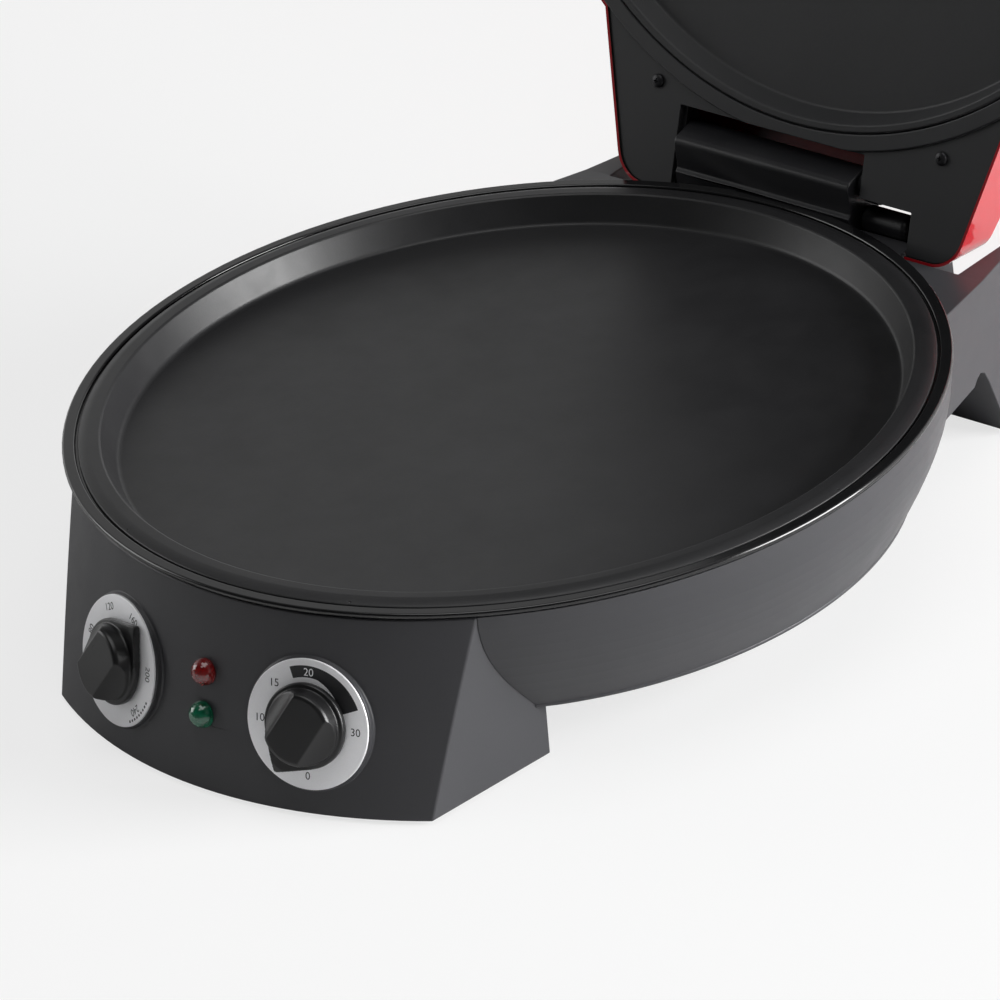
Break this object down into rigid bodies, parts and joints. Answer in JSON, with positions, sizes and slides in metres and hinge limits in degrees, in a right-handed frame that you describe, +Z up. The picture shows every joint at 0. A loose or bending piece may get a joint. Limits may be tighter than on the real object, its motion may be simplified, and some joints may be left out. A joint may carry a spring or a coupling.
{
  "type": "countertop pizza cooker",
  "caption": "Round electric countertop cooker with a non-stick lower plate, a hinged lid with an upper plate, a front control box with a thermostat and a timer dial, and a rear hinge housing.",
  "frame": {"origin": "under the middle of the open cooker's box, on the counter", "axes": "+Z up, -Y towards the control panel, +X to the right as the user faces the panel"},
  "size_m": [0.3446, 0.5248, 0.4476],
  "materials": {
    "casing_paint": "satin charcoal casings",
    "trim_black": "glossy black trim",
    "nonstick": "black non-stick coat on cast aluminium",
    "frame_black": "fine-grained black plastic",
    "shell_red": "glossy deep red",
    "handle_black": "polished black plastic",
    "dial_silver": "satin silver with black print",
    "cover_black": "matt black sheet covers",
    "foot_rubber": "black rubber",
    "zinc_steel": "zinc plated steel",
    "dark_screw": "blackened steel screw heads",
    "heater_sheath": "heat-darkened steel tube",
    "reflector_sheet": "bare reflector sheet",
    "switch_body": "moulded and ceramic switch bodies",
    "lens_red": "translucent red",
    "lens_green": "translucent green"
  },
  "bodies": {
    "base": {"body_band": "casing_paint", "trim_ring": "trim_black", "control_box": "casing_paint", "rear_housing": "casing_paint", "bottom_cover": "cover_black", "control_box_cover": "cover_black", "rear_cover": "cover_black", "front_feet": "foot_rubber", "rear_feet": "foot_rubber", "rim_screws": "zinc_steel", "cover_screws": "zinc_steel", "housing_screws": "zinc_steel", "lower_plate": "nonstick", "lower_element": "heater_sheath", "lower_clips": "zinc_steel", "lower_plate_screws": "zinc_steel", "lower_reflector": "reflector_sheet", "temperature_dial": "dial_silver", "timer_dial": "dial_silver", "thermostat": "switch_body", "timer_clock": "switch_body", "control_nuts": "zinc_steel", "red_lens": "lens_red", "green_lens": "lens_green", "pilot_lamps": "switch_body", "terminal_block": "switch_body", "thermal_fuse": "switch_body", "cord_gland": "frame_black", "hinge_block": "frame_black", "hinge_block_screws": "zinc_steel", "hinge_pin": "zinc_steel", "hinge_clip": "zinc_steel", "hinge_spacer": "frame_black", "wire_conduit": "frame_black"},
    "lid": {"lid_shell": "shell_red", "lid_frame": "frame_black", "upper_plate": "nonstick", "upper_element": "heater_sheath", "upper_clips": "zinc_steel", "upper_plate_screws": "zinc_steel", "upper_tray": "reflector_sheet", "left_lug": "frame_black", "right_lug": "frame_black", "lug_screws": "zinc_steel", "lid_screws": "dark_screw", "handle": "handle_black", "handle_screws": "zinc_steel"},
    "temperature_control": {"temperature_knob": "handle_black", "temperature_shaft": "zinc_steel"},
    "timer_control": {"timer_knob": "handle_black", "timer_shaft": "zinc_steel"}
  },
  "joints": [
    {"name": "lid_hinge", "type": "hinge", "parent": "base", "child": "lid", "pos_m": [0, 0.10989, 0.0887], "axis": [1, 0, 0], "range_deg": [0, 111]},
    {"name": "temperature_turn", "type": "hinge", "parent": "base", "child": "temperature_control", "pos_m": [-0.04725, -0.24501, 0.035], "axis": [0.2525, 0.9293, -0.2696], "range_deg": [-170, 100]},
    {"name": "timer_turn", "type": "hinge", "parent": "base", "child": "timer_control", "pos_m": [0.04725, -0.24501, 0.035], "axis": [-0.2525, 0.9293, -0.2696], "range_deg": [-33, 239]}
  ]
}
